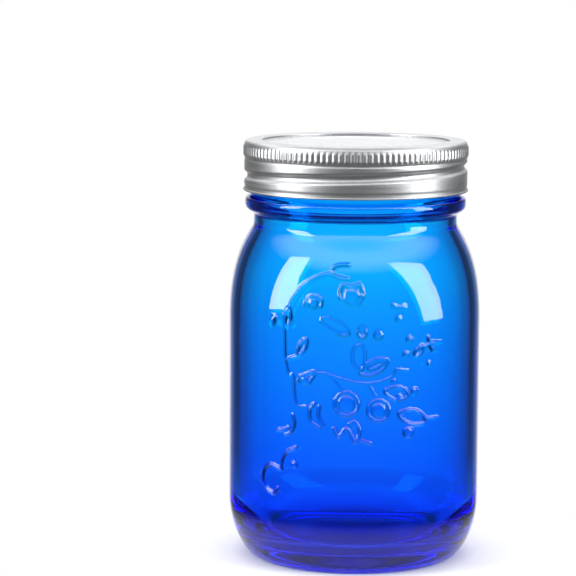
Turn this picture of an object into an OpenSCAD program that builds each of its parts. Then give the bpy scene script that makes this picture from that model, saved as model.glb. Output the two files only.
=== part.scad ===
// Regular-mouth mason jar of 16 oz: a blue glass jar with fruit embossing, closed by a two-piece
// canning lid, which is a tinplate disc with a moulded sealing ring, held down by a screw band.
// Origin at the centre of the resting face, +Z up, embossing on the -Y side.

/* [Glass body] */
// Outside diameter of the straight body
body_d = 81; // [80:0.5:82]
// Height of the glass, from the table to the rim
glass_h = 134; // [133:0.5:136]
// Wall thickness of the straight body
wall_t = 3; // [2.5:0.1:3.5]
// Glass thickness of the floor where it meets the wall
floor_t = 6.8; // [5.5:0.1:7.5]
// Diameter of the foot where the heel starts
foot_d = 63.6; // [61:0.1:65]
// Height of the rounded heel
heel_h = 18.1; // [15:0.1:20]
// Height at which the shoulder starts to turn in
shoulder_z = 77.7; // [74:0.1:80]
// How far the embossed design stands out
emboss_h = 0.5; // [0.3:0.1:0.8]

/* [Neck finish] */
// Diameter of the mouth
mouth_d = 60; // [59:0.1:61]
// Diameter of the neck at the root of the thread
root_d = 67.2; // [67:0.1:67.6]
// Diameter over the crest of the thread
thread_d = 70.5; // [70:0.1:70.6]
// Diameter of the bead under the closure
bead_d = 71.2; // [70.5:0.1:71.6]
// Narrowest diameter of the neck, below the bead
neck_d = 65.6; // [65:0.1:66]
// Rise of the thread in one turn
pitch = 6.35; // [6:0.05:6.5]

/* [Closure] */
// Thickness of the band's sheet metal
band_t = 0.3; // [0.25:0.01:0.32]
// Thickness of the disc's sheet metal
disc_t = 0.25; // [0.2:0.01:0.28]
// Height of the band from its hem to its top
band_h = 16.3; // [16:0.1:16.5]
// Outside diameter of the band's plain skirt
skirt_d = 71.8; // [71.8:0.1:72.2]
// Diameter of the opening in the band's top
window_d = 60; // [58:0.5:60]
// Number of grip knurls round the band
knurls = 120; // [90:1:140]
// Depth of the rolled thread inside the band
roll_depth = 1.0; // [0.9:0.05:1.05]

/* [Hidden] */
$fn = 96;

body_r = body_d / 2;
foot_r = foot_d / 2;
root_r = root_d / 2;
crest_r = thread_d / 2;
bead_r = bead_d / 2;
neck_r = neck_d / 2;
mouth_r = mouth_d / 2;
skirt_r = skirt_d / 2;

FRONT = 270;                        // azimuth of the -Y side
neck_z = shoulder_z + 30.8;         // where the shoulder has become the neck
bead_z = glass_h - 19;              // middle of the bead
heel_power = 2 / 1.72;              // roundness of the heel, 1 for an ellipse
seal_t = 0.38;                      // squeezed thickness of the sealing ring
seal_gap = 0.02;                    // room between the sealing ring and the rim
seat_z = glass_h + seal_gap + seal_t;            // underside of the disc's seat
band_top = seat_z + disc_t + 0.05 + band_t;      // underside of the lip clears the disc by 0.05
hem_z = band_top - band_h;
front_thread_z = glass_h - 6.9;     // height of the glass thread at the front
roll_drop = 1.85;                   // the band's thread runs this far below the glass thread

// Points along an arc of radius r round c
function arc(c, r, from, to, n) =
    [for (i = [0:n]) let (a = from + (to - from) * i / n) c + r * [cos(a), sin(a)]];

// Points along a cubic Bezier curve, without its first point
function bezier(a, b, c, d, n) =
    [for (i = [1:n]) let (t = i / n, s = 1 - t)
        s * s * s * a + 3 * s * s * t * b + 3 * s * t * t * c + t * t * t * d];

// A rounded heel from the point (r0, z0) up to (r1, z1)
function heel(r0, z0, r1, z1, n) =
    [for (i = [0:n]) let (a = 90 * i / n)
        [r0 + (r1 - r0) * pow(sin(a), heel_power), z0 + (z1 - z0) * (1 - pow(cos(a), heel_power))]];

// Outline of a sheet of thickness t that follows a path of (r, z) points
function direction(p, i) =
    let (d = p[min(i + 1, len(p) - 1)] - p[max(i - 1, 0)]) d / norm(d);
function beside(p, i, s) = let (d = direction(p, i)) p[i] + s * [-d[1], d[0]];
function sheet(p, t) = concat(
    [for (i = [0:len(p) - 1]) beside(p, i, t / 2)],
    [for (i = [len(p) - 1:-1:0]) beside(p, i, -t / 2)]);

// Outside of the glass, from the foot to the rim, as (r, z) points
outer_body = concat(
    heel(foot_r, 0, body_r, heel_h, 22),
    [[body_r, shoulder_z]],
    bezier([body_r, shoulder_z], [body_r, shoulder_z + 22.3],
           [neck_r, neck_z - 3.4], [neck_r, neck_z], 24));
outer_neck = concat(
    [[neck_r, bead_z - 4.2]],
    bezier([neck_r, bead_z - 4.2], [neck_r, bead_z - 2.4],
           [bead_r, bead_z - 3], [bead_r, bead_z - 0.4], 8),
    [[bead_r, bead_z + 0.8]],
    bezier([bead_r, bead_z + 0.8], [bead_r, bead_z + 2.2],
           [root_r, bead_z + 1.8], [root_r, bead_z + 3.6], 8),
    arc([root_r - 1.6, glass_h - 1.6], 1.6, 0, 90, 6));

// Inside of the glass, from the rim down to the middle of the floor
inner_r = body_r - wall_t;
bore_z = neck_z - 1;                // lower end of the straight mouth
inner = concat(
    arc([mouth_r + 1.4, glass_h - 1.4], 1.4, 90, 180, 6),
    [[mouth_r, bore_z]],
    bezier([mouth_r, bore_z], [mouth_r, bore_z - 4.5],
           [inner_r, shoulder_z + 20.8], [inner_r, shoulder_z - 0.7], 24),
    [for (i = [16:-1:0]) heel(28, floor_t, inner_r, heel_h + 3, 16)[i]],
    [[14, floor_t - 0.5], [0, floor_t - 0.2]]);

// Underside: a shallow push-up inside the flat resting ring
push_up = [[0, 2.6], [12, 2.4], [22, 1.7], [28, 0.6], [30, 0]];

// Radius of the outside of the body at a height, and its lean from the vertical
function glass_r(z) = lookup(z, [for (p = outer_body) [p[1], p[0]]]);
function lean(z) = atan2(glass_r(z + 0.5) - glass_r(z - 0.5), 1);

// Solid through a row of rings, each a list of points in the same order
module skin(rings) {
    n = len(rings[0]);
    last = (len(rings) - 1) * n;
    sides = [for (i = [0:n:last - n], j = [0:n - 1]) let (k = (j + 1) % n)
        each [[i + j, i + k, i + n + k], [i + j, i + n + k, i + n + j]]];
    ends = [[for (j = [n - 1:-1:0]) j], [for (j = [0:n - 1]) last + j]];
    polyhedron([for (ring = rings) each ring], concat(sides, ends), convexity = 6);
}

// Helical ridge with a trapezoid section, through front_z at the front, from one height to another.
// It is from_w wide where it leaves the radius from_r and to_w at to_r, and fades out at its ends.
module helix(front_z, low_z, high_z, from_r, to_r, from_w, to_w) {
    low = FRONT + 360 * (low_z - front_z) / pitch;
    high = FRONT + 360 * (high_z - front_z) / pitch;
    steps = ceil((high - low) / 6);
    fade = 24;
    side = to_r > from_r ? 0.5 : -0.5;
    skin([for (i = [0:steps])
        let (a = low + (high - low) * i / steps,
             z = front_z + pitch * (a - FRONT) / 360,
             grown = max(0.02, min(1, (a - low) / fade, (high - a) / fade)),
             tip = from_r + (to_r - from_r) * grown)
        [for (p = [[from_r, -from_w], [tip, -to_w], [tip, to_w], [from_r, from_w]])
            [p[0] * cos(a), p[0] * sin(a), z + side * p[1]]]]);
}

// Places children on the outside of the glass, x to the right and z outwards, at u mm along the
// surface from the front's middle and at height z
module on_glass(u, z) {
    r = glass_r(z);
    rotate([0, 0, u / r * 180 / PI]) translate([0, -r, z]) rotate([90 + lean(z), 0, 0]) children();
}

function ellipse(l, w) = [for (i = [0:23]) [l / 2 * cos(i * 15), w / 2 * sin(i * 15)]];

// Raised outline of a leaf or an oval fruit
module oval(u, z, l, w, tilt) {
    on_glass(u, z) rotate([0, 0, tilt]) translate([0, 0, -1.2]) linear_extrude(1.2 + emboss_h)
        difference() {
            polygon(ellipse(l, w));
            polygon(ellipse(l - 1.4, w - 1.4));
        }
}

// Round berry, a low dome of radius r
module berry(u, z, r) {
    h = emboss_h * 1.6;
    dome_r = (r * r + h * h) / (2 * h);
    intersection() {
        on_glass(u, z) translate([0, 0, h - dome_r]) sphere(dome_r);
        on_glass(u, z) translate([0, 0, -1]) cylinder(r = r + 1, h = 1 + h);
    }
}

// Raised line through (u, z) points along the outside of the glass
module stroke(points) {
    w = 0.8;
    skin([for (i = [0:len(points) - 1])
        let (d = direction(points, i), across = [-d[1], d[0]])
        [for (k = [[-w / 2, -0.8], [-w / 4, emboss_h], [w / 4, emboss_h], [w / 2, -0.8]])
            let (p = points[i] + k[0] * across, r = glass_r(p[1]) + k[1],
                 a = FRONT + p[0] / body_r * 180 / PI)
            [r * cos(a), r * sin(a), p[1]]]]);
}

// Fruit, leaves and stems embossed on the front
module embossing() {
    // big rounded fruit outline with its stem
    stroke(concat([[-19.6, 44]],
        bezier([-19.6, 44], [-23.5, 56], [-23.5, 70], [-23, 80], 10),
        bezier([-23, 80], [-22, 91], [-15, 96], [-3, 93.5], 12)));
    // hanging stem line that the berries and ovals grow from
    stroke(concat([[-18.5, 64]],
        bezier([-18.5, 64], [-8, 68], [2, 59], [10, 63], 12),
        bezier([10, 63], [14, 65], [15, 67], [17, 69.5], 5)));
    stroke([[-3.6, 59], [-6, 62], [-8.5, 64.5]]);
    stroke([[7.4, 56.8], [6, 59.5], [4.6, 62]]);
    // lower leaf on the left
    stroke(bezier([-19, 40], [-26, 38.5], [-31.5, 34], [-27, 26], 12));
    oval(-21.9, 82, 5.6, 3, 90);
    oval(-6, 80, 9.8, 3.6, -23);
    oval(-16.7, 73, 7.4, 2.6, 62);
    oval(5.9, 67.6, 9.6, 4.2, 24);
    oval(1.2, 71.6, 6.4, 3.6, 82);
    oval(13.6, 58.7, 7.2, 4.2, -8);
    oval(18.9, 51.2, 8.8, 4.6, -18);
    oval(21.2, 72.3, 5, 2.6, 35);
    berry(-0.9, 89.5, 3.2);
    berry(-13.1, 87.1, 2.6);
    berry(-2.5, 55.8, 3.6);
    berry(8, 53.6, 3.4);
    berry(2.3, 78.5, 1.5);
    berry(7.4, 77.5, 1.6);
    berry(17.5, 75.9, 1.2);
    berry(0.4, 49.8, 1.3);
    berry(19.9, 59.7, 1.3);
    oval(-11.2, 51.6, 8, 3.4, 96);
}

module glass_jar() {
    color("royalblue", 0.5) union() {
        rotate_extrude() polygon(concat(push_up, outer_body, outer_neck, inner));
        helix(front_thread_z, glass_h - 10.8, glass_h - 3.2, root_r - 0.6, crest_r, 3.6, 0.9);
        embossing();
    }
}

// Tinplate disc: sunken centre panel, seat over the rim and an edge turned down round it
module lid_disc() {
    mid = seat_z + disc_t / 2;
    panel = mid - 0.58;
    edge_r = skirt_r - band_t - 0.75 - disc_t / 2;
    path = concat(
        [[0, panel], [20, panel]],
        bezier([20, panel], [21, panel], [21, panel + 0.3], [22, panel + 0.3], 5),
        bezier([22, panel + 0.3], [23, panel + 0.3], [23, panel], [24, panel], 5),
        [[29.2, panel]],
        bezier([29.2, panel], [30.2, panel], [30, mid], [31, mid], 6),
        arc([edge_r - 1.2, mid - 1.2], 1.2, 90, 0, 6),
        [[edge_r, mid - 1.6]]);
    color("gainsboro") rotate_extrude() polygon(sheet(path, disc_t));
}

// Moulded ring of soft compound under the disc's seat
module sealing_ring() {
    low = glass_h + seal_gap;
    color("indianred") rotate_extrude() polygon(concat(
        [[31, seat_z]],
        [[31, low + 0.15], [31.15, low]],
        [[32.95, low], [33.1, low + 0.15]],
        [[33.1, seat_z]]));
}

// Screw band: lip over the disc, knurled grip, plain skirt with a rolled thread and a curled hem
module screw_band() {
    mid_r = skirt_r - band_t / 2;
    lip = band_top - band_t / 2;
    corner = 1.45;
    grip_top = band_top - 1.6;
    grip_bottom = grip_top - 3.5;
    hem_r = 0.23;
    path = concat(
        arc([window_d / 2 + 0.45, lip - 0.3], 0.3, 180, 90, 3),
        arc([mid_r - corner, lip - corner], corner, 90, 0, 4),
        [[mid_r, grip_bottom - 0.1], [mid_r - 0.13, grip_bottom - 0.6]],
        [[mid_r - 0.13, grip_bottom - 0.9], [mid_r, grip_bottom - 1.4]],
        [[mid_r, hem_z + 2.4], [mid_r - 0.13, hem_z + 1.4]],
        arc([mid_r - 0.13 + hem_r, hem_z + hem_r + band_t / 2], hem_r, 180, 430, 7));
    roll_z = front_thread_z - roll_drop;
    color("silver") difference() {
        union() {
            rotate_extrude($fn = 144) polygon(sheet(path, band_t));
            translate([0, 0, grip_bottom]) linear_extrude(grip_top - grip_bottom) knurled_ring();
            helix(roll_z, hem_z + 2.4, grip_bottom - 1.5, mid_r - 0.07, mid_r - 0.15 - roll_depth, 3.3, 1);
        }
        helix(roll_z, hem_z + 2.7, grip_bottom - 1.8, skirt_r + 0.2, mid_r + 0.15 - roll_depth, 3.2, 0.8);
    }
}

// Section of the grip: a row of flat-topped teeth round the skirt
module knurled_ring() {
    step = 360 / knurls;
    tooth = [[0, 0.3], [0.45, 0.3], [0.6, 0.05], [0.85, 0.05]];
    difference() {
        polygon([for (i = [0:knurls - 1], p = tooth)
            let (a = step * (i + p[0])) (skirt_r + p[1]) * [cos(a), sin(a)]]);
        circle(skirt_r - band_t / 2, $fn = 144);
    }
}

glass_jar();
lid_disc();
sealing_ring();
screw_band();
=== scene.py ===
"""Looks of a regular-mouth mason jar of blue glass, closed by a disc and a knurled screw band.

Profiles are lists of (radius, height) points in millimetres. The jar's proportions come from a
fit to its outline in the photo. They become meshes in metres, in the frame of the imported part.
"""

import math

import bpy
import numpy as np
from mathutils import Matrix, Vector


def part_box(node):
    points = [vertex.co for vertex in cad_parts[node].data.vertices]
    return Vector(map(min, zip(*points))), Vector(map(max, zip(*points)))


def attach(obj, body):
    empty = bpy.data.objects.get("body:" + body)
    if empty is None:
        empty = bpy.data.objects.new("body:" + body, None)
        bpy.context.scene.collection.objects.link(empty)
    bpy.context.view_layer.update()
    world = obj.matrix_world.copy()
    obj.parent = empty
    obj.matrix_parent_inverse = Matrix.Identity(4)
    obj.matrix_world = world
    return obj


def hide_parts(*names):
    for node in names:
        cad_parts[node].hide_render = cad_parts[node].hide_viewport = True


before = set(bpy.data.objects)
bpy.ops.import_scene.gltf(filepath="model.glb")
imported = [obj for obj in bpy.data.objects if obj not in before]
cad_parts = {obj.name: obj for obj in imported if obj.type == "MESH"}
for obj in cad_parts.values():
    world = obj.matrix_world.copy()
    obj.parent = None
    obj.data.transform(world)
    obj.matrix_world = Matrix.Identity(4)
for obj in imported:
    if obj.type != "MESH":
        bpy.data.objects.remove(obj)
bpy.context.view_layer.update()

MM = 0.001

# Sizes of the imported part, in millimetres
SEAM_H = 0.1                    # the two mould seams stand this far out of the body
BODY_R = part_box("glass_jar")[1].x / MM - SEAM_H
GLASS_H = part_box("glass_jar")[1].z / MM
BAND_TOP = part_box("screw_band")[1].z / MM
HEM_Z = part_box("screw_band")[0].z / MM
DISC_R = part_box("lid_disc")[1].x / MM
DISC_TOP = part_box("lid_disc")[1].z / MM
SEAT_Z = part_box("sealing_ring")[1].z / MM
SEAL_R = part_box("sealing_ring")[1].x / MM
RIM_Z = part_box("sealing_ring")[0].z / MM

# Jar
FOOT_R = 31.8
HEEL_H = 18.1
HEEL_POWER = 2 / 1.72
SHOULDER_Z = 77.7
NECK_R = 32.8
NECK_Z = SHOULDER_Z + 30.8
BEAD_R = 35.6
BEAD_Z = GLASS_H - 19
ROOT_R = 33.6
CREST_R = 35.25
MOUTH_R = 30
WALL_T = 3
FLOOR_T = 6.8
PITCH = 6.35
THREAD_Z = GLASS_H - 6.9        # height of the glass thread at the front
THREAD_LOW_Z = GLASS_H - 10.8   # where the thread starts
THREAD_HIGH_Z = GLASS_H - 3.2   # and where it ends
PUSH_UP = [(5, 2.6), (12, 2.4), (22, 1.7), (28, 0.6), (29.4, 0.12), (30.2, 0)]
INNER_FLOOR_R = 28

# Embossing: widths and heights of its ridges, and the height of the largest berries
OUTLINE_SIZE = (1.3, 0.4)
DETAIL_SIZE = (1.4, 0.6)
BERRY_MAX_H = 0.75

# Closure
SHEET_T = 0.3
DISC_T = 0.25
SKIRT_R = 35.9
KNURLS = 120
KNURL_H = 0.26
ROLL_DEPTH = 1.0
ROLL_DROP = 1.85                # the band's thread runs this far below the glass thread
GRIP_TOP = BAND_TOP - 1.6
GRIP_BOTTOM = GRIP_TOP - 3.5
LIP_R = MOUTH_R + 0.45          # inner edge of the band's lip
BAND_CORNER = 1.45
HEM_CURL_R = 0.23
GROOVE_DEPTH = 0.13
SEAL_INNER_R = 31
SEAL_SOFT = 0.12                # rounding of the sealing ring's edges

FRONT = -math.pi / 2            # azimuth of the embossed side

# Stage, in metres and degrees
FLOOR_SOLID_R, FLOOR_CLEAR_R = 0.04, 0.09   # the floor fades out between these radii
LIGHT_DISTANCE = 0.9
LOOK_DOWN = 7.5                             # the camera looks down by about this much
# Greys of the studio: what the glass shows through it, from far off the screen's middle to its middle,
THROUGH = [(0, 0.04), (0.5, 0.04), (0.88, 0.06), (0.95, 0.12), (0.985, 0.62), (1, 1)]
# what surfaces mirror, from the front of the room to its back,
MIRRORED = [(0, 0.08), (0.5, 0.05), (0.9, 0.08), (0.96, 0.3), (0.985, 1), (1, 1)]
# and the shares of the ceiling light and of the table, from straight down to straight up
ABOVE = [(0, 0), (0.72, 0), (0.8, 1), (0.85, 1), (0.9, 0.22), (1, 0.22)]
BELOW = [(0, 1), (0.3, 1), (0.42, 0)]
SCREEN_RADIANCE = 1.25
CEILING_RADIANCE = 2.6


# ---------------------------------------------------------------- profiles

def line(a, b, n):
    """n points from a towards b, b included and a not."""
    t = np.linspace(0, 1, n + 1)[1:, None]
    return np.array(a) + (np.array(b) - np.array(a)) * t


def arc(centre, r, start, end, n):
    t = np.radians(np.linspace(start, end, n + 1))
    return np.array(centre) + r * np.stack([np.cos(t), np.sin(t)], 1)


def bezier(a, b, c, d, n):
    a, b, c, d = (np.array(p, float) for p in (a, b, c, d))
    t = np.linspace(0, 1, n + 1)[1:, None]
    s = 1 - t
    return s ** 3 * a + 3 * s * s * t * b + 3 * s * t * t * c + t ** 3 * d


def heel(r0, z0, r1, z1, n):
    """Rounded heel between the foot and the wall, squarer than an ellipse."""
    t = np.linspace(0, math.pi / 2, n + 1)
    r = r0 + (r1 - r0) * np.sin(t) ** HEEL_POWER
    z = z0 + (z1 - z0) * (1 - np.cos(t) ** HEEL_POWER)
    return np.stack([r, z], 1)


def normals(path, closed=False):
    """Unit normals on the left of a path."""
    if closed:
        d = np.roll(path, -1, 0) - np.roll(path, 1, 0)
    else:
        d = np.gradient(path, axis=0)
    d /= np.linalg.norm(d, axis=1)[:, None]
    return np.stack([-d[:, 1], d[:, 0]], 1)


def sheet(path, t):
    """Closed outline of a sheet of thickness t along a path."""
    off = normals(path) * t / 2
    return np.concatenate([path + off, (path - off)[::-1]])


def smooth(x):
    x = np.clip(x, 0, 1)
    return x * x * (3 - 2 * x)


# ---------------------------------------------------------------- meshes

def mesh_object(name, verts, quads, tris=()):
    mesh = bpy.data.meshes.new(name)
    mesh.from_pydata((verts * MM).tolist(), [], quads + list(tris))
    mesh.polygons.foreach_set("use_smooth", [True] * len(mesh.polygons))
    mesh.update()
    obj = bpy.data.objects.new(name, mesh)
    bpy.context.scene.collection.objects.link(obj)
    return obj


def revolve(name, radius, height, azimuths, loop):
    """Mesh through a grid of radii and heights, one row for each profile point.

    A loop closes on itself. Any other profile starts and ends on the axis.
    """
    rows, cols = radius.shape
    x, y = radius * np.cos(azimuths), radius * np.sin(azimuths)
    verts = np.stack([x, y, height], 2).reshape(-1, 3)
    index = np.arange(rows * cols).reshape(rows, cols)
    above = np.roll(index, -1, 0) if loop else index[1:]
    below = index if loop else index[:-1]
    right, right_above = np.roll(below, -1, 1), np.roll(above, -1, 1)
    quads = np.stack([below, right, right_above, above], 2).reshape(-1, 4).tolist()
    tris = []
    if not loop:
        first, last = rows * cols, rows * cols + 1
        poles = [[0, 0, height[0].mean()], [0, 0, height[-1].mean()]]
        verts = np.concatenate([verts, poles])
        nxt = np.roll(np.arange(cols), -1)
        tris = [[first, int(b), int(a)] for a, b in zip(range(cols), nxt)]
        top = (rows - 1) * cols
        tris += [[last, top + int(a), top + int(b)] for a, b in zip(range(cols), nxt)]
    return mesh_object(name, verts, quads, tris)


def helix_height(azimuth, z, z_front):
    """Height above the nearest turn of a helix, and how far along it that turn is, in turns."""
    turn = (azimuth - FRONT) / (2 * math.pi)
    turn = turn + np.round((z - z_front) / PITCH - turn)
    return z - z_front - PITCH * turn, turn


# ---------------------------------------------------------------- embossing

def spline(points, n=8, closed=False):
    """Smooth path through points."""
    p = np.array(points, float)
    p = np.concatenate([p[-1:], p, p[:2]] if closed else [2 * p[:1] - p[1:2], p, 2 * p[-1:] - p[-2:-1]])
    t = np.linspace(0, 1, n, endpoint=False)[:, None]
    parts = []
    for a, b, c, d in zip(p, p[1:], p[2:], p[3:]):
        square, cube = 2 * a - 5 * b + 4 * c - d, 3 * b - a - 3 * c + d
        parts.append(0.5 * (2 * b + (c - a) * t + square * t ** 2 + cube * t ** 3))
    return np.concatenate(parts + [p[-2:-1]])


def oval(u, z, length, width, tilt):
    """Closed oval path, pointed a little at both ends."""
    t = np.linspace(0, 2 * math.pi, 33)
    a = math.radians(tilt)
    along, across = length / 2 * np.cos(t), width / 2 * np.sin(t) * (1 - 0.25 * np.cos(t) ** 2)
    return np.stack([u + along * math.cos(a) - across * math.sin(a),
                     z + along * math.sin(a) + across * math.cos(a)], 1)


def star(u, z, r, points, depth, turn):
    """Closed path of a round-pointed star."""
    t = np.linspace(0, 2 * math.pi, 61)
    radius = r * (1 + depth * np.cos(points * t))
    return np.stack([u + radius * np.cos(t + turn), z + radius * np.sin(t + turn)], 1)


def ridge(u, z, path, width, height):
    """Height of a rounded ridge that follows a path."""
    out = np.zeros_like(u)
    reach = width / 2
    for a, b in zip(path, path[1:]):
        near = ((u > min(a[0], b[0]) - reach) & (u < max(a[0], b[0]) + reach)
                & (z > min(a[1], b[1]) - reach) & (z < max(a[1], b[1]) + reach))
        if not near.any():
            continue
        pu, pz, d = u[near] - a[0], z[near] - a[1], b - a
        t = np.clip((pu * d[0] + pz * d[1]) / max(d @ d, 1e-9), 0, 1)
        gap = np.hypot(pu - t * d[0], pz - t * d[1]) / reach
        out[near] = np.maximum(out[near], height * smooth(1 - gap))
    return out


def dome(u, z, at, r, height):
    """Height of a round berry with a soft edge."""
    gap = np.hypot(u - at[0], z - at[1]) / r
    return height * np.sqrt(np.clip(1 - gap ** 2, 0, 1))


def embossing(u, z):
    """Height of the fruit, leaves and stems at u mm round the front and height z.

    These points are no example to follow. A measuring script worked them out from positions in
    the photo, so they are a tracing and not a design: report.md names it as a broken rule.
    """
    outlines = [
        # tall arch of the fruit, and the branch across it
        spline([(-8.1, 96.2), (-12.4, 95), (-17, 92.2), (-20.1, 88.3), (-21.9, 84.5), (-22.9, 78.9),
                (-22.9, 74.1), (-22.6, 68.7), (-21.4, 64.3), (-19.7, 63.6), (-19.3, 58), (-18.2, 54.5),
                (-14.3, 54.5)]),
        spline([(-12.6, 65), (-9.1, 65.2), (-6.3, 64.3), (-1.6, 63), (3.2, 62.2), (7.2, 62.6),
                (10.8, 63.7), (12.9, 65.2), (13.6, 66.4), (17, 66)]),
        spline([(-18.5, 70.1), (-21.8, 68.9)]),
        spline([(-7.3, 64.2), (-5.3, 61.6), (-3.2, 59.4)]),
        spline([(4.5, 61.9), (5.6, 60.3), (6.6, 58.4)]),
        spline([(23.6, 50.3), (27.1, 50.2)]),
        spline([(3.2, 68.5), (3.4, 71.6), (2.2, 74.1), (0.4, 73.9), (-0.5, 71.5), (-0.3, 68.5),
                (1.1, 66.8)]),
    ]
    details = [
        # stem, buds and blossoms
        spline([(-2, 98.9), (-6.1, 98.6), (-7.6, 97.2), (-6.9, 95.6), (-4.8, 94.9), (-2.3, 94.5)]),
        spline([(-4, 92.7), (-1.2, 92.2), (1.6, 92.9), (2.7, 89.8), (0.4, 86.4), (-2.3, 87.8),
                (-4.7, 88.9)], closed=True),
        spline([(-15.8, 85.9), (-15.6, 87.6), (-14.1, 88.9), (-11.9, 88.9), (-10.4, 87.6),
                (-10.8, 85.5)]),
        spline([(-18.1, 61.9), (-17.2, 63.8), (-15.1, 64.7), (-12.4, 65.7), (-12.9, 63.8),
                (-14.6, 61.6)]),
        spline([(-12.4, 55.6), (-14, 53.2), (-13.6, 50), (-10.5, 47.8)]),
        spline([(-10.9, 54.8), (-11.1, 51.4), (-9.6, 48.7)]),
        spline([(-6.1, 48), (-4.7, 45.3), (-2.9, 47.7), (-1.8, 47.8), (-0.6, 45.8), (0.6, 43.7),
                (1.9, 47.2), (0.4, 50.3), (-1.3, 49.6)], 6),
        spline([(2.3, 44.4), (5.4, 43.4)]),
        spline([(12, 86.5), (14, 85.7), (15.6, 86)]),
        spline([(22.5, 72.8), (25, 74.2), (26.8, 73.9)]),
        spline([(24.5, 75.8), (25.1, 73.3), (26.3, 71.5)]),
        # curls at the lower left
        spline([(-19.8, 51.2), (-19.2, 48.7), (-20.3, 46), (-22.7, 44.8)]),
        spline([(-25.5, 45.9), (-23.4, 46.3), (-21.3, 47.1)]),
        spline([(-24.5, 33.6), (-26.3, 34.4), (-28.7, 34.5), (-31.1, 32.7), (-31.5, 29.5), (-29.9, 26.8),
                (-26.8, 25.5), (-25.5, 27.4)]),
        spline([(-23.9, 33.7), (-23.7, 36.7), (-21.8, 39.4), (-18.5, 41.1)]),
        # leaves
        oval(-21.9, 82.1, 5.6, 2.4, 90),
        oval(-16.6, 73, 6.0, 2.1, 62),
        oval(-6.1, 79.8, 9.8, 3.2, -25),
        oval(2.4, 78.2, 3.4, 2.4, 90),
        oval(6.2, 67.4, 9.4, 4.3, 25),
        oval(6.8, 68.1, 5.3, 1.7, 25),
        oval(13.6, 59, 7.9, 4.1, -10),
        oval(19, 51.1, 9.9, 4.5, -18),
        oval(21.2, 71.9, 4.2, 2.0, 40),
        # rings round the two large berries
        star(-2.3, 55.8, 3.7, 9, 0.02, 0),
        star(7.7, 53.7, 3.3, 9, 0.02, 0),
    ]
    berries = [
        (-13.1, 86.9, 2.0), (-0.9, 89.6, 2.6), (-27.8, 80.5, 1.5), (7.4, 77.3, 1.6), (13.9, 82.2, 1.1),
        (15.8, 85.9, 0.9), (17.6, 75.7, 1.2), (16.5, 71, 1.2), (24.9, 67.5, 0.8), (12.5, 62.7, 1.0),
        (-15.6, 62.6, 1.6), (-2.3, 55.8, 2.8), (7.7, 53.7, 2.5), (14.3, 57.9, 1.0), (19.4, 59.2, 1.4),
        (-0.1, 49.2, 1.2), (17.5, 46.4, 1.9), (-19.1, 35.6, 1.2), (-22.1, 45.6, 0.9),
    ]
    height = np.zeros_like(u)
    for path in outlines:
        height = np.maximum(height, ridge(u, z, path, *OUTLINE_SIZE))
    for path in details:
        height = np.maximum(height, ridge(u, z, path, *DETAIL_SIZE))
    for bu, bz, r in berries:
        height = np.maximum(height, dome(u, z, (bu, bz), r, min(BERRY_MAX_H, 0.3 * r + 0.12)))
    return height


# ---------------------------------------------------------------- jar

def jar_outside():
    """Outside of the glass, from the resting ring to the top of the rim."""
    shoulder = bezier((BODY_R, SHOULDER_Z), (BODY_R, SHOULDER_Z + 22.3), (NECK_R, NECK_Z - 3.4),
                      (NECK_R, NECK_Z), 84)
    body = np.concatenate([
        heel(FOOT_R, 0, BODY_R, HEEL_H, 22),
        line((BODY_R, HEEL_H), (BODY_R, 24), 4),
        line((BODY_R, 24), (BODY_R, SHOULDER_Z), 158),
        shoulder[:44],
        shoulder[45::2],
    ])
    neck = np.concatenate([
        line((NECK_R, NECK_Z), (NECK_R, BEAD_Z - 4.2), 2),
        bezier((NECK_R, BEAD_Z - 4.2), (NECK_R, BEAD_Z - 2.4), (BEAD_R, BEAD_Z - 3),
               (BEAD_R, BEAD_Z - 0.4), 10),
        line((BEAD_R, BEAD_Z - 0.4), (BEAD_R, BEAD_Z + 0.8), 2),
        bezier((BEAD_R, BEAD_Z + 0.8), (BEAD_R, BEAD_Z + 2.2), (ROOT_R, BEAD_Z + 1.8),
               (ROOT_R, BEAD_Z + 3.6), 10),
        line((ROOT_R, BEAD_Z + 3.6), (ROOT_R, GLASS_H - 1.6), 28),
        arc((ROOT_R - 1.6, GLASS_H - 1.6), 1.6, 0, 90, 7)[1:],
    ])
    return np.concatenate([body, neck])


def jar_inside():
    """Inside of the glass, from the top of the rim to near the middle of the floor."""
    wall_r, bore_z = BODY_R - WALL_T, NECK_Z - 1
    return np.concatenate([
        arc((MOUTH_R + 1.4, GLASS_H - 1.4), 1.4, 90, 180, 5),
        line((MOUTH_R, GLASS_H - 1.4), (MOUTH_R, bore_z), 3),
        bezier((MOUTH_R, bore_z), (MOUTH_R, bore_z - 4.5), (wall_r, SHOULDER_Z + 20.8),
               (wall_r, SHOULDER_Z - 0.7), 18),
        line((wall_r, SHOULDER_Z - 0.7), (wall_r, HEEL_H + 3), 4)[:-1],
        heel(INNER_FLOOR_R, FLOOR_T, wall_r, HEEL_H + 3, 14)[::-1],
        [(24, FLOOR_T - 0.2), (14, FLOOR_T - 0.45), (5, FLOOR_T - 0.5)],
    ])


def jar_columns():
    """Azimuths of the jar's columns: close together over the embossing and the two mould seams."""
    emboss = FRONT + np.arange(-32, 27, 0.34) / BODY_R
    seam = np.array([-0.7, -0.35, 0, 0.35, 0.7]) / BODY_R
    rest = np.linspace(emboss[-1], emboss[0] + 2 * math.pi, 84)[1:-1]
    every = np.concatenate([emboss, rest, seam, seam + math.pi])
    every = np.sort(np.mod(every - FRONT + math.pi, 2 * math.pi))
    far = np.concatenate([[True], np.diff(every) > 0.2 / BODY_R])
    return every[far] + FRONT - math.pi


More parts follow.
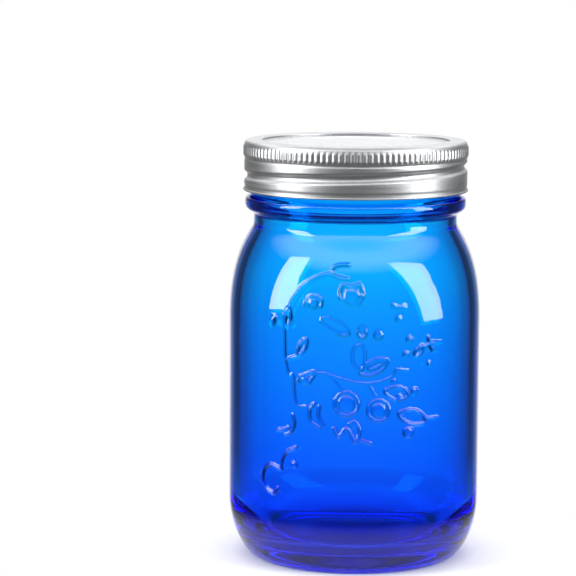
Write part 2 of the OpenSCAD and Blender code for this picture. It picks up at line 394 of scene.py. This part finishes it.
def build_jar():
    push_up = np.array(PUSH_UP, float)
    outside, inside = jar_outside(), jar_inside()
    profile = np.concatenate([push_up, outside, inside])
    azimuth = jar_columns()
    start, end = len(push_up), len(push_up) + len(outside)
    out = -normals(profile)[start:end]
    r = np.repeat(profile[:, :1], len(azimuth), 1)
    z = np.repeat(profile[:, 1:], len(azimuth), 1)

    ro, zo = r[start:end], z[start:end]
    u = np.repeat(((azimuth - FRONT + math.pi) % (2 * math.pi) - math.pi)[None] * BODY_R, len(outside), 0)
    proud = embossing(u, zo)
    # the two mould seams run up the sides
    side = np.abs(np.cos(azimuth))[None] * BODY_R
    beside = BODY_R - side
    seam = SEAM_H * smooth(1 - beside / 0.008) * smooth((zo - 3) / 2) * smooth((BEAD_Z - 6 - zo) / 4)
    proud = np.maximum(proud, seam)
    # one turn and a fifth of thread, fading out at both ends
    above, turn = helix_height(azimuth[None], zo, THREAD_Z)
    low, high = (THREAD_LOW_Z - THREAD_Z) / PITCH, (THREAD_HIGH_Z - THREAD_Z) / PITCH
    fade = smooth((turn - low) / 0.07) * smooth((high - turn) / 0.07)
    thread = (CREST_R - ROOT_R) * smooth(1.45 - np.abs(above) / 1.15) * fade
    thread *= (zo > BEAD_Z + 3.4) & (zo < GLASS_H - 1.5)
    ro += proud * out[:, :1] + thread
    zo += proud * out[:, 1:]
    return revolve("jar_of_glass", r, z, azimuth, loop=False)


# ---------------------------------------------------------------- closure

def build_band():
    mid_r, lip = SKIRT_R - SHEET_T / 2, BAND_TOP - SHEET_T / 2
    groove_r = mid_r - GROOVE_DEPTH
    path = np.concatenate([
        arc((LIP_R, lip - 0.3), 0.3, 200, 90, 4),
        line((LIP_R, lip), (mid_r - BAND_CORNER, lip), 3),
        arc((mid_r - BAND_CORNER, lip - BAND_CORNER), BAND_CORNER, 90, 0, 7)[1:],
        line((mid_r, lip - BAND_CORNER), (mid_r, GRIP_BOTTOM), 9),
        # shallow groove under the grip
        bezier((mid_r, GRIP_BOTTOM), (mid_r, GRIP_BOTTOM - 0.5), (groove_r, GRIP_BOTTOM - 0.3),
               (groove_r, GRIP_BOTTOM - 0.8), 5),
        bezier((groove_r, GRIP_BOTTOM - 0.8), (groove_r, GRIP_BOTTOM - 1.3), (mid_r, GRIP_BOTTOM - 1.1),
               (mid_r, GRIP_BOTTOM - 1.6), 5),
        line((mid_r, GRIP_BOTTOM - 1.6), (mid_r, HEM_Z + 2.4), 20),
        bezier((mid_r, HEM_Z + 2.4), (mid_r, HEM_Z + 1.9), (groove_r, HEM_Z + 1.9),
               (groove_r, HEM_Z + 1.3), 5),
        arc((groove_r + HEM_CURL_R, HEM_Z + HEM_CURL_R + SHEET_T / 2), HEM_CURL_R, 180, 430, 9),
    ])
    outline = sheet(path, SHEET_T)
    outer = np.arange(len(outline)) < len(path)
    azimuth = np.linspace(0, 2 * math.pi, KNURLS * 6, endpoint=False)
    r = np.repeat(outline[:, :1], len(azimuth), 1)
    z = np.repeat(outline[:, 1:], len(azimuth), 1)

    # grip knurls, on the outer face only
    phase = azimuth * KNURLS / (2 * math.pi) % 1
    tooth = smooth((0.5 - np.abs(phase - 0.5)) * 4 - 0.35)
    window = smooth((z - GRIP_BOTTOM + 0.1) / 0.55) * smooth((GRIP_TOP + 0.05 - z) / 0.6)
    flat = np.abs(r - SKIRT_R) < 0.2
    r += np.where(outer[:, None] & flat, window * (0.03 + KNURL_H * tooth[None]), 0)

    # rolled thread, pressed inwards through both faces of the sheet
    z_front = THREAD_Z - ROLL_DROP
    above, turn = helix_height(azimuth[None], z, z_front)
    low, high = (HEM_Z + 2.4 - z_front) / PITCH, (GRIP_BOTTOM - 1.5 - z_front) / PITCH
    fade = smooth((turn - low) / 0.09) * smooth((high - turn) / 0.09)
    pressed = ROLL_DEPTH * smooth(1.3 - np.abs(above) / 1.35) * fade
    skirt = (z < GRIP_BOTTOM - 0.2) & (z > HEM_Z + 0.9)
    r -= np.where(skirt, pressed, 0)
    return revolve("knurled_band", r[::-1], z[::-1], azimuth, loop=True)


def build_disc():
    mid = DISC_TOP - DISC_T / 2
    panel = mid - 0.58
    edge_r = DISC_R - DISC_T / 2
    path = np.concatenate([
        [(4, panel)],
        line((4, panel), (20, panel), 6),
        bezier((20, panel), (21, panel), (21, panel + 0.3), (22, panel + 0.3), 6),
        bezier((22, panel + 0.3), (23, panel + 0.3), (23, panel), (24, panel), 6),
        line((24, panel), (29.2, panel), 3),
        bezier((29.2, panel), (30.2, panel), (30, mid), (31, mid), 7),
        line((31, mid), (edge_r - 1.2, mid), 3),
        arc((edge_r - 1.2, mid - 1.2), 1.2, 90, 0, 8)[1:],
        line((edge_r, mid - 1.2), (edge_r, mid - 1.6), 2),
    ])
    # from the middle of the underside out round the edge and back to the middle of the top
    outline = sheet(path, DISC_T)[::-1]
    azimuth = np.linspace(0, 2 * math.pi, 192, endpoint=False)
    r = np.repeat(outline[:, :1], len(azimuth), 1)
    z = np.repeat(outline[:, 1:], len(azimuth), 1)
    return revolve("tinplate_disc", r, z, azimuth, loop=False)


def build_seal():
    outline = np.concatenate([
        line((SEAL_INNER_R, SEAT_Z), (SEAL_INNER_R, RIM_Z + SEAL_SOFT), 2),
        arc((SEAL_INNER_R + SEAL_SOFT, RIM_Z + SEAL_SOFT), SEAL_SOFT, 180, 270, 4),
        line((SEAL_INNER_R + SEAL_SOFT, RIM_Z), (SEAL_R - SEAL_SOFT, RIM_Z), 8),
        arc((SEAL_R - SEAL_SOFT, RIM_Z + SEAL_SOFT), SEAL_SOFT, 270, 360, 4)[1:],
        line((SEAL_R, RIM_Z + SEAL_SOFT), (SEAL_R, SEAT_Z), 2),
        line((SEAL_R, SEAT_Z), (SEAL_INNER_R, SEAT_Z), 4),
    ])
    azimuth = np.linspace(0, 2 * math.pi, 192, endpoint=False)
    r = np.repeat(outline[:, :1], len(azimuth), 1)
    z = np.repeat(outline[:, 1:], len(azimuth), 1)
    return revolve("plastisol_seal", r, z, azimuth, loop=True)


# ---------------------------------------------------------------- materials

class Nodes:
    """Short way to write a material's nodes."""

    def __init__(self, name):
        self.mat = bpy.data.materials.new(name)
        self.mat.use_nodes = True
        self.tree = self.mat.node_tree
        self.tree.nodes.clear()
        self.out = self.tree.nodes.new("ShaderNodeOutputMaterial")

    def add(self, kind, **values):
        node = self.tree.nodes.new("ShaderNode" + kind)
        for key, value in values.items():
            if key in node.inputs:
                node.inputs[key].default_value = value
            else:
                setattr(node, key, value)
        return node

    def link(self, source, node, socket):
        self.tree.links.new(source, node.inputs[socket])

    def surface(self, **values):
        bsdf = self.tree.nodes.new("ShaderNodeBsdfPrincipled")
        for key, value in values.items():
            bsdf.inputs[key.replace("_", " ")].default_value = value
        self.link(bsdf.outputs[0], self.out, "Surface")
        return bsdf

    def coords(self, scale=(1, 1, 1)):
        """Object coordinates, scaled."""
        co = self.add("TexCoord")
        mapping = self.add("Mapping", Scale=scale)
        self.link(co.outputs["Object"], mapping, "Vector")
        return mapping.outputs[0]

    def noise(self, vector, scale, detail=3.0, roughness=0.5):
        node = self.add("TexNoise", Scale=scale, Detail=detail, Roughness=roughness)
        self.link(vector, node, "Vector")
        return node.outputs["Fac"]

    def ramp(self, fac, stops):
        node = self.tree.nodes.new("ShaderNodeValToRGB")
        ramp = node.color_ramp
        for i, (at, colour) in enumerate(stops):
            element = ramp.elements[i] if i < 2 else ramp.elements.new(at)
            element.position, element.color = at, colour
        self.link(fac, node, "Fac")
        return node.outputs["Color"]

    def spread(self, fac, low, high, start=0.0, end=1.0):
        node = self.add("MapRange")
        for key, value in (("From Min", start), ("From Max", end), ("To Min", low), ("To Max", high)):
            node.inputs[key].default_value = value
        self.link(fac, node, "Value")
        return node.outputs["Result"]

    def bump(self, height, strength, distance, bsdf):
        node = self.add("Bump", Strength=strength, Distance=distance)
        self.link(height, node, "Height")
        self.link(node.outputs[0], bsdf, "Normal")


def blue_glass():
    """Clear glass coloured through its thickness. Its surface colour deepens towards the base, partly for
    the thicker glass there and partly as painted shade of the shadowed floor seen through the lower jar.
    """
    m = Nodes("blue_glass")
    bsdf = m.surface(Transmission_Weight=1.0, IOR=1.5, Roughness=0.0)
    co = m.add("TexCoord")
    split = m.add("SeparateXYZ")
    m.link(co.outputs["Object"], split, "Vector")
    height = m.spread(split.outputs["Z"], 0, 1, 0, GLASS_H * MM)
    # surface colour darker towards the bottom: partly thicker glass, partly painted shade of the floor
    # shadow seen through the jar
    thick_tint_and_painted_shade = m.ramp(height, [(0.0, (0.85, 0.3, 0.85, 1)), (0.13, (0.9, 0.43, 1, 1)),
                           (0.37, (0.9, 0.63, 1, 1)), (0.56, (0.93, 0.78, 1, 1)), (0.7, (1, 0.98, 1, 1))])
    m.link(thick_tint_and_painted_shade, bsdf, "Base Color")
    # slight waves left by the mould, and a finer orange peel
    waves = m.noise(m.coords((1, 1, 0.45)), 55, 2.0, 0.4)
    m.bump(waves, 0.1, 0.0006, bsdf)
    volume = m.add("VolumeAbsorption", Density=1100.0, Color=(0.0, 0.873, 0.997, 1))
    m.link(volume.outputs[0], m.out, "Volume")
    return m.mat


def scaled(m, source, scale):
    """Value of a socket, times a number."""
    node = m.add("Math", operation="MULTIPLY")
    node.inputs[1].default_value = scale
    m.link(source, node, 0)
    return node.outputs[0]


def rolling_coords(m, along_scale, across_scale):
    """Coordinates for rolling marks: fast changes with radius and height, slow ones along the band."""
    co = m.add("TexCoord")
    split = m.add("SeparateXYZ")
    m.link(co.outputs["Object"], split, "Vector")
    flat = m.add("CombineXYZ")
    m.link(split.outputs["X"], flat, "X")
    m.link(split.outputs["Y"], flat, "Y")
    radius = m.add("VectorMath", operation="LENGTH")
    m.link(flat.outputs[0], radius, 0)
    out = m.add("CombineXYZ")
    m.link(scaled(m, radius.outputs["Value"], across_scale), out, "X")
    m.link(scaled(m, split.outputs["Z"], across_scale), out, "Y")
    m.link(scaled(m, split.outputs["X"], along_scale), out, "Z")
    return out.outputs[0]


def band_steel():
    """Tin-plated steel with fine rolling marks round it."""
    m = Nodes("band_steel")
    bsdf = m.surface(Metallic=1.0)
    lines = m.noise(rolling_coords(m, 30, 5000), 1.0, 3.0, 0.6)
    mottle = m.noise(m.coords(), 160, 3.0, 0.6)
    tone = m.ramp(mottle, [(0.3, (0.50, 0.51, 0.525, 1)), (0.7, (0.57, 0.58, 0.59, 1))])
    m.link(tone, bsdf, "Base Color")
    m.link(m.spread(lines, 0.36, 0.5, 0.3, 0.7), bsdf, "Roughness")
    m.bump(lines, 0.12, 0.00005, bsdf)
    return m.mat


def tinplate():
    """Lacquered tinplate with a faint crystal mottle."""
    m = Nodes("tinplate")
    bsdf = m.surface(Metallic=1.0)
    cells = m.add("TexVoronoi", Scale=260.0)
    m.link(m.coords(), cells, "Vector")
    tone = m.ramp(cells.outputs["Distance"], [(0.0, (0.68, 0.69, 0.70, 1)), (0.9, (0.75, 0.76, 0.77, 1))])
    m.link(tone, bsdf, "Base Color")
    lines = m.noise(m.coords((1, 24, 24)), 220, 3.0, 0.6)
    m.link(m.spread(lines, 0.24, 0.36, 0.3, 0.7), bsdf, "Roughness")
    m.bump(lines, 0.1, 0.00004, bsdf)
    return m.mat


def plastisol():
    """Soft rose-brown sealing compound."""
    m = Nodes("plastisol")
    bsdf = m.surface(Roughness=0.5, IOR=1.48)
    speck = m.noise(m.coords(), 900, 3.0, 0.6)
    tone = m.ramp(speck, [(0.3, (0.40, 0.13, 0.11, 1)), (0.7, (0.50, 0.18, 0.15, 1))])
    m.link(tone, bsdf, "Base Color")
    m.link(m.spread(speck, 0.42, 0.6, 0.3, 0.7), bsdf, "Roughness")
    m.bump(speck, 0.2, 0.00005, bsdf)
    return m.mat


def floor_paper():
    """Matt white paper round the jar that fades into the white room."""
    m = Nodes("floor_paper")
    bsdf = m.surface(Roughness=0.9, Specular_IOR_Level=0.1)
    grain = m.noise(m.coords(), 400, 2.0, 0.5)
    tone = m.ramp(grain, [(0.3, (0.86, 0.86, 0.86, 1)), (0.7, (0.88, 0.88, 0.88, 1))])
    m.link(tone, bsdf, "Base Color")
    co = m.add("TexCoord")
    radius = m.add("VectorMath", operation="LENGTH")
    m.link(co.outputs["Object"], radius, 0)
    shown = m.add("MapRange", interpolation_type="SMOOTHSTEP")
    fade = (("From Min", FLOOR_SOLID_R), ("From Max", FLOOR_CLEAR_R), ("To Min", 1.0), ("To Max", 0.0))
    for key, value in fade:
        shown.inputs[key].default_value = value
    m.link(radius.outputs["Value"], shown, "Value")
    m.link(shown.outputs["Result"], bsdf, "Alpha")
    return m.mat


def finish_piece(obj, material, body, node):
    obj.data.materials.clear()
    obj.data.materials.append(material)
    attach(obj, body)
    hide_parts(node)


# ---------------------------------------------------------------- stage

def around(azimuth, elevation, distance):
    """Point seen from the jar in a direction: azimuth 0 is towards the front, positive to the right."""
    a, e = math.radians(azimuth), math.radians(elevation)
    return Vector((math.sin(a) * math.cos(e), -math.cos(a) * math.cos(e), math.sin(e))) * distance


def light_panel(name, corners, radiance):
    """Softbox given by the azimuths and elevations of its corners, as seen from the jar."""
    middle = Vector((0, 0, 0.08))
    mesh = bpy.data.meshes.new(name)
    mesh.from_pydata([middle + around(a, e, LIGHT_DISTANCE) for a, e in corners], [], [(0, 1, 2, 3)])
    obj = bpy.data.objects.new(name, mesh)
    bpy.context.scene.collection.objects.link(obj)
    m = Nodes(name)
    glow = m.add("Emission", Color=(1, 1, 1, 1), Strength=radiance)
    m.link(glow.outputs[0], m.out, "Surface")
    mesh.materials.append(m.mat)


def ceiling_light():
    """Weak light from above that gives the jar a soft shadow on the floor."""
    light = bpy.data.lights.new("ceiling", "AREA")
    light.size, light.energy = 0.8, 3.0
    obj = bpy.data.objects.new("ceiling", light)
    obj.location = (0, 0, 1.0)
    obj.visible_glossy = False
    obj.visible_transmission = False
    bpy.context.scene.collection.objects.link(obj)


def grey_ramp(tree, source, stops):
    node = tree.nodes.new("ShaderNodeValToRGB")
    for i, (at, grey) in enumerate(stops):
        element = node.color_ramp.elements[i] if i < 2 else node.color_ramp.elements.new(at)
        element.position, element.color = at, (grey, grey, grey, 1)
    tree.links.new(source, node.inputs["Fac"])
    return node.outputs["Color"]


def unit_range(tree, source):
    """Value between -1 and 1, moved to between 0 and 1."""
    node = tree.nodes.new("ShaderNodeMapRange")
    node.inputs["From Min"].default_value = -1
    tree.links.new(source, node.inputs["Value"])
    return node.outputs[0]


def mixed(tree, factor, a, b):
    """Mix of two colours. Each is a socket or the grey of a plain number."""
    node = tree.nodes.new("ShaderNodeMix")
    node.data_type = "RGBA"
    tree.links.new(factor, node.inputs["Factor"])
    for value, key in ((a, "A"), (b, "B")):
        if isinstance(value, float):
            node.inputs[key].default_value = (value, value, value, 1)
        else:
            tree.links.new(value, node.inputs[key])
    return node.outputs["Result"]


def build_world():
    """White room. Glass and metal see a dark studio with a screen behind and a light above."""
    world = bpy.data.worlds.new("studio")
    bpy.context.scene.world = world
    world.use_nodes = True
    tree = world.node_tree
    tree.nodes.clear()
    new, link = tree.nodes.new, tree.links.new
    co, split = new("ShaderNodeTexCoord"), new("ShaderNodeSeparateXYZ")
    link(co.outputs["Generated"], split.inputs[0])
    # share of the way from the front of the room to its back, at any height
    across, level = new("ShaderNodeCombineXYZ"), new("ShaderNodeVectorMath")
    depth = new("ShaderNodeSeparateXYZ")
    level.operation = "NORMALIZE"
    link(split.outputs["X"], across.inputs["X"])
    link(split.outputs["Y"], across.inputs["Y"])
    link(across.outputs[0], level.inputs[0])
    link(level.outputs[0], depth.inputs[0])
    # nearness to the middle of the screen, which hangs in line with the camera
    centred = new("ShaderNodeVectorMath")
    centred.operation = "DOT_PRODUCT"
    centred.inputs[1].default_value = around(180, -LOOK_DOWN, 1)
    link(co.outputs["Generated"], centred.inputs[0])

    through = grey_ramp(tree, unit_range(tree, centred.outputs["Value"]), THROUGH)
    mirrored = grey_ramp(tree, unit_range(tree, depth.outputs["Y"]), MIRRORED)
    height = unit_range(tree, split.outputs["Z"])
    above = grey_ramp(tree, height, ABOVE)
    below = grey_ramp(tree, height, BELOW)
    screen = new("ShaderNodeVectorMath")
    screen.operation = "SCALE"
    screen.inputs["Scale"].default_value = SCREEN_RADIANCE
    link(through, screen.inputs[0])

    rays = new("ShaderNodeLightPath")
    seen = mixed(tree, below, screen.outputs[0], 1.0)
    studio = mixed(tree, rays.outputs["Is Transmission Ray"], mirrored, seen)
    studio = mixed(tree, above, studio, CEILING_RADIANCE)
    room = mixed(tree, rays.outputs["Is Glossy Ray"], 1.0, studio)
    sky, out = new("ShaderNodeBackground"), new("ShaderNodeOutputWorld")
    link(room, sky.inputs["Color"])
    link(sky.outputs[0], out.inputs["Surface"])


def build_floor():
    reach, fine = 160.0, 20
    azimuth = np.linspace(0, 2 * math.pi, 96, endpoint=False)
    radius = np.geomspace(20, reach, fine)[::-1]
    r = np.repeat(radius[:, None], len(azimuth), 1)
    z = np.full_like(r, -0.02)
    x, y = r * np.cos(azimuth), r * np.sin(azimuth)
    verts = np.stack([x, y, z], 2).reshape(-1, 3)
    verts = np.concatenate([verts, [[0, 0, -0.02]]])
    index = np.arange(r.size).reshape(r.shape)
    right = np.roll(index, -1, 1)
    quads = np.stack([index[:-1], right[:-1], right[1:], index[1:]], 2).reshape(-1, 4).tolist()
    inner = [[int(a), int(b), r.size] for a, b in zip(index[-1], right[-1])]
    floor = mesh_object("floor", verts, quads, inner)
    floor.data.materials.append(floor_paper())


def build_camera():
    """Camera a little above the lid, in front of the embossing, with a long lens.

    Its place, angles and lens come from a fit to the jar's outline in the photo.
    """
    pitch, yaw, roll = math.radians(7.453), math.radians(1.453), math.radians(0.292)
    data = bpy.data.cameras.new("camera")
    data.lens, data.sensor_width = 165.9, 36
    cam = bpy.data.objects.new("camera", data)
    level = math.cos(pitch)
    forward = Vector((-math.sin(yaw) * level, math.cos(yaw) * level, -math.sin(pitch)))
    right = forward.cross(Vector((0, 0, 1))).normalized()
    up = right.cross(forward)
    x = math.cos(roll) * right + math.sin(roll) * up
    y = math.cos(roll) * up - math.sin(roll) * right
    turn = Matrix((x, y, -forward)).transposed().to_4x4()
    cam.matrix_world = Matrix.Translation((0, -0.8525, 0.1982)) @ turn
    bpy.context.scene.collection.objects.link(cam)
    bpy.context.scene.camera = cam


def build_stage():
    scene = bpy.context.scene
    scene.view_settings.view_transform = "Standard"
    scene.cycles.max_bounces = 40
    scene.cycles.glossy_bounces = 32
    scene.cycles.transmission_bounces = 32
    scene.cycles.transparent_max_bounces = 12
    build_world()
    build_floor()
    # A script worked these corners out from the reflections in the photo: see report.md
    light_panel("strip_left", [(-72.5, 31.5), (-49.4, 36.3), (-57.6, 0.6), (-82.9, -1.5)], 10.5)
    light_panel("window_right", [(35.2, 33.7), (72.3, 26.5), (86.5, -4.5), (64.7, -4.5)], 8.5)
    ceiling_light()


build_camera()
build_stage()
finish_piece(build_jar(), blue_glass(), "jar", "glass_jar")
finish_piece(build_disc(), tinplate(), "lid", "lid_disc")
finish_piece(build_seal(), plastisol(), "lid", "sealing_ring")
finish_piece(build_band(), band_steel(), "band", "screw_band")
